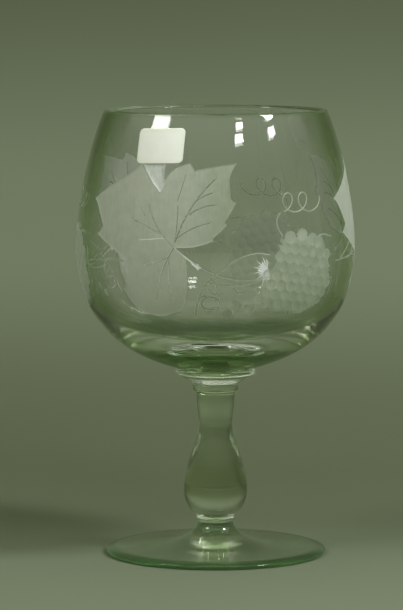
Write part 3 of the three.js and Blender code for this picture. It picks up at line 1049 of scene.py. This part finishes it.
def band_plan(vine):
    """Points and edges of one repeat, in its plan."""
    points, edges = [], []

    def add(run, closed=False):
        first = len(points)
        points.extend(tuple(point) for point in run)
        edges.extend((i, i + 1) for i in range(first, len(points) - 1))
        if closed:
            edges.append((len(points) - 1, first))

    def draw(run, closed=False):
        add(plan_place(run).tolist(), closed)

    draw(vine.leaf, closed=True)
    draw(vine.fold, closed=True)
    along = unit_rows(np.roll(vine.leaf, -1, axis=0) - np.roll(vine.leaf, 1, axis=0))
    inset = vine.leaf + BEVEL * np.column_stack([along[:, 1], -along[:, 0]])
    whole = (edge_gap(inset, vine.leaf) > WHOLE_BEVEL_SHARE * BEVEL) & inside(inset, vine.leaf)
    for good, run in itertools.groupby(zip(whole, inset), key=lambda pair: pair[0]):
        if good:
            draw([point for _, point in run])
    for strokes in (vine.veins, vine.ribs, vine.fan, vine.strands):
        for rail in strokes.rails():
            draw(rail)
    for centre, radius in zip(vine.grapes, vine.radii):
        for share, count in GRAPE_CIRCLES:
            draw(rounded(centre, radius * share, 0, 360, count)[:-1], closed=True)
        draw([centre])

    start, end = SECTOR_START, SECTOR_START + 360 / REPEATS
    rows = np.linspace(BAND_LOW, BAND_HIGH, round((BAND_HIGH - BAND_LOW) / BORDER_PITCH) + 1)
    columns = np.linspace(start, end, BOWL_STEPS_ROUND // REPEATS + 1)
    border = [(a, BAND_LOW) for a in columns] + [(end, y) for y in rows[1:]]
    border += [(a, BAND_HIGH) for a in columns[-2::-1]] + [(start, y) for y in rows[-2:0:-1]]
    add([(math.radians(a) * BOWL_BELLY_RADIUS, y) for a, y in border], closed=True)
    low_x, high_x = (math.radians(a) * BOWL_BELLY_RADIUS for a in (start, end))

    def fill(pitch, clearance, in_leaf):
        """Adds free points in staggered rows, in the leaf or round it, clear of what is there already."""
        tree = kdtree.KDTree(len(points))
        for i, (x, y) in enumerate(points):
            tree.insert((x, y, 0), i)
        tree.balance()
        spots = []
        row = 0
        y = BAND_LOW + pitch * FIRST_ROW_SHARE
        while y < BAND_HIGH - clearance:
            first = low_x + clearance + (pitch / 2 if row % 2 else 0)
            spots.extend((x, y) for x in np.arange(first, high_x - clearance, pitch))
            y += pitch * ROW_SHARE
            row += 1
        spots = np.array(spots)
        spots = spots[inside(drawn_place(spots), vine.leaf) == in_leaf]
        points.extend((x, y) for x, y in spots.tolist() if tree.find((x, y, 0))[2] > clearance)

    fill(LEAF_PITCH, LEAF_CLEARANCE, True)
    fill(OPEN_PITCH, OPEN_CLEARANCE, False)
    return points, edges


PLAN_SNAP = 1e-5
LEAST_AREA = 1e-7
SLOPE_STEP = 0.04
CORNER_PULL = 0.2


def band_mesh(vine):
    """The engraved band as corner data: places, faces, kinds, tones, normals and unrolled places."""
    points, edges = band_plan(vine)
    verts, _, faces, *_ = geometry.delaunay_2d_cdt([Vector(p) for p in points], edges, [], 0, PLAN_SNAP)
    plan = np.array([tuple(v) for v in verts])
    faces = np.array([f for f in faces if len(f) == 3])
    corner = plan[faces]
    area = np.cross(corner[:, 1] - corner[:, 0], corner[:, 2] - corner[:, 0])
    faces[area < 0] = faces[area < 0][:, ::-1]
    faces = faces[np.abs(area) > LEAST_AREA]
    corner = plan[faces]

    middle = corner.mean(axis=1)
    kind = vine.kind(drawn_place(middle))
    depth = vine.depth_and_tone(drawn_place(plan))[0]
    cut = kind != Vine.CLEAR
    on_edge = np.zeros(len(plan), bool)
    on_edge[faces[~cut].ravel()] = True
    depth[on_edge] = 0

    azimuth, rise = corner.reshape(-1, 2).T
    normal = WALL.normal(azimuth / BOWL_BELLY_RADIUS, rise).reshape(len(faces), 3, 3)
    near = (corner[cut] * (1 - CORNER_PULL) + middle[cut][:, None, :] * CORNER_PULL).reshape(-1, 2)
    tone = np.zeros(faces.shape)
    tone[cut] = vine.depth_and_tone(drawn_place(near))[1].reshape(-1, 3)
    slopes = []
    for shift in np.eye(2) * SLOPE_STEP:
        ahead = vine.depth_and_tone(drawn_place(near + shift))[0]
        behind = vine.depth_and_tone(drawn_place(near - shift))[0]
        slopes.append((ahead - behind) / (2 * SLOPE_STEP))
    azimuth, rise = near[:, 0] / BOWL_BELLY_RADIUS, near[:, 1]
    out = WALL.normal(azimuth, rise)
    across = np.column_stack([np.cos(azimuth), np.sin(azimuth), np.zeros(len(azimuth))])
    upward = np.cross(out, across)
    upward *= np.sign(upward[:, 2:3])
    stretch = WALL.radius(rise) / BOWL_BELLY_RADIUS
    tilted = out + (slopes[0] / stretch)[:, None] * across + slopes[1][:, None] * upward
    tilted /= np.linalg.norm(tilted, axis=1)[:, None]
    normal[cut] = tilted.reshape(-1, 3, 3)
    unrolled = drawn_place(corner.reshape(-1, 2)).reshape(len(faces), 3, 2)
    return plan, depth, faces, kind, tone, normal, unrolled


# Meshes of the bowl and the label

def add_materials(mesh, materials):
    for material in materials:
        mesh.materials.append(material)


def new_mesh(name, places, faces, materials, smooth):
    """A mesh of places in metres. Smooth says for each face whether it is shaded so."""
    mesh = bpy.data.meshes.new(name)
    mesh.from_pydata(places, [], faces)
    add_materials(mesh, materials)
    mesh.polygons.foreach_set("use_smooth", smooth)
    return mesh


def read_values(items, name, width=1, kind=float):
    """A named value of each of a mesh's items, as rows of an array where it is wider than one number."""
    values = np.zeros(len(items) * width, kind)
    items.foreach_get(name, values)
    return values.reshape(-1, width) if width > 1 else values


def loop_values(mesh, name, kind, values):
    layer = mesh.attributes.new(name, kind, "CORNER")
    layer.data.foreach_set("vector" if kind == "FLOAT_VECTOR" else "value", np.asarray(values, float).ravel())


# The bowl's finishes are its glass, its fused seat, the frost and the deep cuts. A vein is clear glass.
SLOT_OF_KIND = (0, 2, 0, 3)


def band_object(vine, materials):
    """The band's three repeats as one mesh, with its cut normals kept as a corner attribute."""
    plan, depth, faces, kind, tone, normal, unrolled = band_mesh(vine)
    places, all_faces, normals = [], [], []
    for i in range(REPEATS):
        turn = 2 * math.pi * i / REPEATS
        places.append(WALL.place(plan[:, 0] / BOWL_BELLY_RADIUS + turn, plan[:, 1], -depth))
        all_faces.append(faces + i * len(plan))
        c, s = math.cos(turn), math.sin(turn)
        normals.append(normal @ np.array([[c, s, 0], [-s, c, 0], [0, 0, 1]]))
    all_faces = np.vstack(all_faces).tolist()
    places = (np.vstack(places) * MM).tolist()
    mesh = new_mesh("bowl_band", places, all_faces, materials, [True] * len(all_faces))
    mesh.polygons.foreach_set("material_index", np.tile(np.choose(kind, SLOT_OF_KIND), REPEATS))
    loop_values(mesh, "cut_tone", "FLOAT", np.tile(tone, (REPEATS, 1)))
    loop_values(mesh, "cut_normal", "FLOAT_VECTOR", np.concatenate(normals))
    layer = mesh.uv_layers.new(name="along_the_wall")
    layer.data.foreach_set("uv", (np.tile(unrolled, (REPEATS, 1, 1)) * MM).ravel())
    return mesh


def bowl_outlines():
    """The bowl's outline without the engraved band: the part below it, and the part above and inside."""

    def on_wall(first, last, count):
        rises = np.linspace(first, last, count)
        return np.column_stack([WALL.radius(rises), WALL.height(rises)])

    floor = BOWL_SEAT + BOWL_BASE_THICKNESS
    inner_low, inner_high = wall_curves(
        BOWL_BELLY_RADIUS - BOWL_WALL, (0, floor), (BOWL_FLOOR_RUN, floor), BOWL_INNER_FULLNESS,
        away(LIP_CENTRE, BOWL_RIM_LEAN + 180, LIP_RADIUS),
    )
    below = chain((0, BOWL_SEAT), on_wall(WALL.rises[0], BAND_LOW, 40))
    above = chain(
        on_wall(BAND_HIGH, WALL.rises[-1], 14),
        rounded(LIP_CENTRE, LIP_RADIUS, BOWL_RIM_LEAN, BOWL_RIM_LEAN + 180, 16),
        bend(*inner_high, 34)[::-1],
        bend(*inner_low, 46)[::-1],
    )
    return below, above


ON_WALL_GAP = 0.01


def wall_normals(mesh):
    """Exact normals on the turned parts of the outer wall, and none, which means smooth, elsewhere."""
    places = read_values(mesh.vertices, "co", 3) / MM
    corners = read_values(mesh.loops, "vertex_index", kind=int)
    rise = WALL.rise_at(places[:, 2])
    outer = np.abs(np.hypot(places[:, 0], places[:, 1]) - WALL.radius(rise)) < ON_WALL_GAP
    outer &= np.abs(places[:, 2] - WALL.height(rise)) < ON_WALL_GAP
    values = WALL.normal(np.arctan2(places[:, 0], -places[:, 1]), rise)[corners]
    for face in mesh.polygons:
        indices = list(face.loop_indices)
        if not face.use_smooth or not outer[corners[indices]].all():
            values[indices] = 0
    return values


BAND_WELD = 0.002


def joined_mesh(name, meshes):
    """Several meshes with the same slots as one, with their shared border points welded."""
    whole = bmesh.new()
    for mesh in meshes:
        whole.from_mesh(mesh)
    bmesh.ops.remove_doubles(whole, verts=whole.verts, dist=BAND_WELD * MM)
    made = bpy.data.meshes.new(name)
    whole.to_mesh(made)
    whole.free()
    add_materials(made, meshes[0].materials)
    return made


def bowl_piece(tree, finishes):
    """The bowl: its engraved band, and the turned parts below, above and within."""
    glass, seat = finishes[:2]
    parts = [band_object(Vine(), finishes)]
    for name, outline in zip(("bowl_below", "bowl_above"), bowl_outlines()):
        part = turned_mesh(name, outline, (BOWL_SEAT,), BOWL_STEPS_ROUND, tree, glass, seat)
        slot_of = np.array([1 if material == seat else 0 for material in part.materials])
        faces = read_values(part.polygons, "material_index", kind=int)
        part.materials.clear()
        add_materials(part, finishes)
        part.polygons.foreach_set("material_index", slot_of[faces])
        loop_values(part, "cut_tone", "FLOAT", np.zeros(len(part.loops)))
        loop_values(part, "cut_normal", "FLOAT_VECTOR", wall_normals(part))
        part.uv_layers.new(name="along_the_wall")
        parts.append(part)
    mesh = joined_mesh("bowl_blown", parts)
    normals = read_values(mesh.attributes["cut_normal"].data, "vector", 3)
    mesh.attributes.remove(mesh.attributes["cut_normal"])
    mesh.normals_split_custom_set(normals.tolist())
    for part in parts:
        bpy.data.meshes.remove(part)
    return link("bowl_blown", mesh)


def label_column(index):
    """How far a column of the label's mesh is from its middle, and how much a corner shortens it."""
    straight = LABEL_WIDTH / 2 - LABEL_CORNER
    from_end = min(index, LABEL_COLUMNS - index)
    if from_end >= LABEL_CORNER_STEPS:
        middle = LABEL_COLUMNS - 2 * LABEL_CORNER_STEPS
        return straight * (2 * (index - LABEL_CORNER_STEPS) / middle - 1), 0.0
    side = -1 if index < LABEL_COLUMNS / 2 else 1
    angle = math.pi / 2 * (1 - from_end / LABEL_CORNER_STEPS)
    return side * (straight + LABEL_CORNER * math.sin(angle)), LABEL_CORNER * (1 - math.cos(angle))


def label_piece(material):
    """A sheet with round corners on the outer wall, as a closed mesh of two skins and a rim."""
    columns, rows = LABEL_COLUMNS, LABEL_ROWS
    skin = (columns + 1) * (rows + 1)
    side, inset = np.repeat([label_column(i) for i in range(columns + 1)], rows + 1, axis=0).T
    height = (np.tile(np.arange(rows + 1), columns + 1) / rows - 0.5) * (LABEL_HEIGHT - 2 * inset)
    slant = math.radians(LABEL_SLANT)
    across = side * math.cos(slant) - height * math.sin(slant)
    rise = WALL.rise_at(RIM_TOP - LABEL_BELOW_RIM) + side * math.sin(slant) + height * math.cos(slant)
    azimuth = math.radians(LABEL_AZIMUTH) + across / WALL.radius(rise)
    skins = [WALL.place(azimuth, rise, LABEL_GLUE_GAP + lift) for lift in (0.0, LABEL_THICKNESS)]
    to_edge = np.minimum(LABEL_WIDTH / 2 - abs(side), LABEL_HEIGHT / 2 - inset - abs(height))

    def at(i, j):
        return i * (rows + 1) + j

    faces = []
    for i in range(columns):
        for j in range(rows):
            quad = (at(i, j), at(i + 1, j), at(i + 1, j + 1), at(i, j + 1))
            faces.append(tuple(skin + k for k in quad))
            faces.append(quad[::-1])
    rim = [at(i, 0) for i in range(columns)] + [at(columns, j) for j in range(rows)]
    rim += [at(i, rows) for i in range(columns, 0, -1)] + [at(0, j) for j in range(rows, 0, -1)]
    faces += [(a, b, skin + b, skin + a) for a, b in zip(rim, rim[1:] + rim[:1])]
    smooth = [i < 2 * columns * rows for i in range(len(faces))]
    mesh = new_mesh("label_sheet", (np.vstack(skins) * MM).tolist(), faces, [material], smooth)
    wear = mesh.attributes.new("edge_wear", "FLOAT", "POINT")
    wear.data.foreach_set("value", np.tile(np.exp(-to_edge / LABEL_WEAR_WIDTH), 2))
    return link("label_sheet", mesh)


# Stage, light and camera. The sheet and the lamps are in metres, and the painted shade zones in mm.

FLOOR_FRONT = -2.6
FLOOR_BACK = 0.28
SWEEP_RADIUS = 0.36
BACKDROP_TOP = 2.4
FLOOR_GAP = 0.0001
STAGE_HALF_WIDTH = 2.6
CLOUD_SHADE = (0.96, 1.04)

# The sheet's colour in front, and each next one with the zone that leads into it, backwards and then up.
# These are painted shade and light on the paper: darker going back, darker still just behind the glass,
# lighter up the sweep, darker again 150 to 300 mm up and lighter above.
FRONT_COLOUR = (0.36, 0.41, 0.30, 1.0)
STAGE_PAINTED_SHADE_ZONES = (
    (depth_share, -700.0, -260.0, (0.147, 0.169, 0.111, 1.0)),
    (depth_share, -40.0, 120.0, (0.107, 0.125, 0.073, 1.0)),
    (height_share, 12.0, 110.0, (0.156, 0.184, 0.119, 1.0)),
    (height_share, 150.0, 300.0, (0.107, 0.122, 0.073, 1.0)),
    (height_share, 340.0, 700.0, (0.17, 0.20, 0.13, 1.0)),
)


def stage_material():
    """Pale paper with soft clouds and painted shade in zones. From behind and from below it lets the eye
    through to the glass.
    """
    made, tree = new_material("stage_paper")
    colour = FRONT_COLOUR
    # Painted shade and light: the colour zones
    for share, low, high, next_colour in STAGE_PAINTED_SHADE_ZONES:
        colour = mixed(tree, share(tree, low, high), colour, next_colour)
    cloud = noise(tree, object_place(tree), scale=2.2, detail=3.0)
    shade = mapped(tree, cloud, *NOISE_RANGE, *CLOUD_SHADE)
    tone = put(tree, "ShaderNodeVectorMath", {0: colour, 3: shade}, operation="SCALE").outputs[0]
    paper = put(tree, "ShaderNodeBsdfPrincipled",
                {"Base Color": tone, "Roughness": 0.9, "Specular IOR Level": 0.1}).outputs[0]
    open_back = put(tree, "ShaderNodeBsdfTransparent", {"Color": (1.0, 1.0, 1.0, 1.0)}).outputs[0]
    behind = put(tree, "ShaderNodeNewGeometry").outputs["Backfacing"]
    surfaced(tree, {0: behind, 1: paper, 2: open_back}, "ShaderNodeMixShader")
    return made


def stage_sweep():
    """Floor, curved sweep and backdrop in one sheet, a hair under the foot so that light gets between."""
    sweep = rounded((FLOOR_BACK, SWEEP_RADIUS), SWEEP_RADIUS, -90, 0, 24)
    line = chain((FLOOR_FRONT, 0.0), sweep, (FLOOR_BACK + SWEEP_RADIUS, BACKDROP_TOP))
    places = [(side * STAGE_HALF_WIDTH, y, z - FLOOR_GAP) for y, z in line for side in (-1, 1)]
    faces = [(2 * i, 2 * i + 1, 2 * i + 3, 2 * i + 2) for i in range(len(line) - 1)]
    mesh = new_mesh("stage_sweep", places, faces, [stage_material()], [True] * len(faces))
    link("stage_sweep", mesh)


# Turn from the front to the right and elevation in degrees, distance, width, height, watts and colour
LAMPS = {
    "key_lamp": (62.0, 43.0, 1.5, 0.34, 0.34, 15.0, (0.92, 1.0, 1.0)),
    "right_spot": (59.4, 31.8, 1.7, 0.18, 0.10, 1.6, (1.0, 1.0, 1.0)),
    "upper_front_spot": (25.5, 38.4, 1.7, 0.17, 0.09, 1.6, (1.0, 1.0, 1.0)),
    "lower_front_spot": (23.6, 33.4, 1.7, 0.20, 0.09, 1.8, (1.0, 1.0, 1.0)),
    "left_softbox": (-62.0, 37.0, 1.6, 0.42, 0.34, 6.5, (1.0, 0.99, 0.95)),
    "top_softbox": (180.0, 84.0, 1.55, 1.6, 1.0, 3.4, (1.0, 0.98, 0.92)),
}
LAMP_AIM = Vector((0.0, 0.0, 0.16))


def lamp(name, turn, elevation, distance, width, height, power, colour):
    """A lamp aimed at the glass, round where it is as high as it is wide."""
    data = bpy.data.lights.new(name, "AREA")
    data.shape = "DISK" if width == height else "RECTANGLE"
    data.size, data.size_y = width, height
    data.energy = power
    data.color = colour
    flat, up = away((0, 0), elevation, 1.0)
    forward, right = away((0, 0), turn, flat)
    toward = Vector((right, -forward, up))
    made = link(name, data)
    made.location = LAMP_AIM + distance * toward
    made.rotation_euler = (-toward).to_track_quat("-Z", "Y").to_euler()


# The room is dark low down and bright overhead, the more so towards both sides
AIR_COLOUR = (0.98, 1.0, 0.88, 1.0)
LOW_AIR = 0.035
SIDE_AIR = 0.22
HIGH_AIR = 0.66
SIDE_ZONE = (0.45, 0.95)
HIGH_ZONE = (0.25, 0.70)


def room_air():
    world = bpy.data.worlds.new("room_air")
    world.use_nodes = True
    tree = world.node_tree
    tree.nodes.clear()
    way = put(tree, "ShaderNodeTexCoord").outputs["Generated"]
    parts = put(tree, "ShaderNodeSeparateXYZ", {0: way}).outputs
    aside = eased(tree, calc(tree, "ABSOLUTE", parts["X"]), *SIDE_ZONE, SIDE_AIR)
    above = eased(tree, parts["Z"], *HIGH_ZONE)
    high = calc(tree, "MULTIPLY", above, calc(tree, "ADD", aside, HIGH_AIR))
    level = calc(tree, "ADD", high, LOW_AIR)
    air = put(tree, "ShaderNodeBackground", {"Color": AIR_COLOUR, "Strength": level})
    put(tree, "ShaderNodeOutputWorld", {"Surface": air.outputs[0]})
    bpy.context.scene.world = world


# The camera stands in front of the glass, as far off, as high and as tilted as the photo's ellipses say
CAMERA_DISTANCE = 1750.0
CAMERA_HEIGHT = 303.1
CAMERA_PITCH = 5.70
FOCAL_PIXELS = 3414.7
PHOTO_WIDTH, PHOTO_HEIGHT = 403, 610
AXIS_COLUMN = 215.7
SENSOR = 36.0
CLIP_START, CLIP_END = 0.05, 20.0


def set_camera():
    data = bpy.data.cameras.new("photo_camera")
    data.sensor_width = SENSOR
    data.lens = FOCAL_PIXELS * SENSOR / PHOTO_HEIGHT
    data.clip_start, data.clip_end = CLIP_START, CLIP_END
    camera = link("photo_camera", data)
    aside = (AXIS_COLUMN - PHOTO_WIDTH / 2) / FOCAL_PIXELS * CAMERA_DISTANCE
    camera.location = (-aside * MM, -CAMERA_DISTANCE * MM, CAMERA_HEIGHT * MM)
    camera.rotation_euler = (math.radians(90 - CAMERA_PITCH), 0, 0)
    bpy.context.scene.camera = camera


def set_view():
    scene = bpy.context.scene
    scene.view_settings.view_transform = "Standard"
    scene.cycles.max_bounces = 64
    scene.cycles.transmission_bounces = 48
    scene.cycles.glossy_bounces = 32
    scene.cycles.transparent_max_bounces = 48


def set_in_place(piece, node):
    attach(piece, BODY)
    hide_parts(node)


def make_goblet():
    surface = blown_surface_group()
    seat = seat_material()
    foot_glass = glass_material("foot_glass", surface, foot_tint_and_edge_shade, wear=foot_wear)
    stem_glass = glass_material("stem_glass", surface, stem_tint, STEM_ALONG_TINT)
    wafer_glass = glass_material("wafer_glass", surface, wafer_tint)
    bowl_glass = glass_material("bowl_glass", surface, bowl_tint, BOWL_ALONG_TINT)
    etched = cut_material("etched_glass", through=0.74, darkest=(0.54, 0.63, 0.45, 1.0),
                          whitest=(0.98, 1.0, 0.89, 1.0), smoothest=0.30, roughest=0.7)
    deep = cut_material("deep_cut_glass", through=0.30, darkest=(0.40, 0.46, 0.38, 1.0),
                        whitest=(0.98, 1.0, 0.97, 1.0), smoothest=0.35, roughest=0.6)
    tree = turned_tree()
    turned = (
        ("foot_spun", "foot", foot_outline(), foot_glass, (COLLAR_SEAT,)),
        ("collar_wafer", "foot_collar", collar_outline(), wafer_glass, (COLLAR_SEAT, STEM_SEAT)),
        ("stem_baluster", "stem", stem_outline(), stem_glass, (STEM_SEAT, MERESE_SEAT)),
        ("merese_wafer", "merese", merese_outline(), wafer_glass, (MERESE_SEAT, BOWL_SEAT)),
    )
    for name, node, outline, glass, seats in turned:
        mesh = turned_mesh(name, outline, seats, STEPS_ROUND, tree, glass, seat)
        set_in_place(link(name, mesh), node)
    set_in_place(bowl_piece(tree, (bowl_glass, seat, etched, deep)), "bowl")
    set_in_place(label_piece(paper_material()), "paper_label")


make_goblet()
stage_sweep()
for lamp_name, lamp_sizes in LAMPS.items():
    lamp(lamp_name, *lamp_sizes)
room_air()
set_camera()
set_view()

bpy.context.view_layer.update()
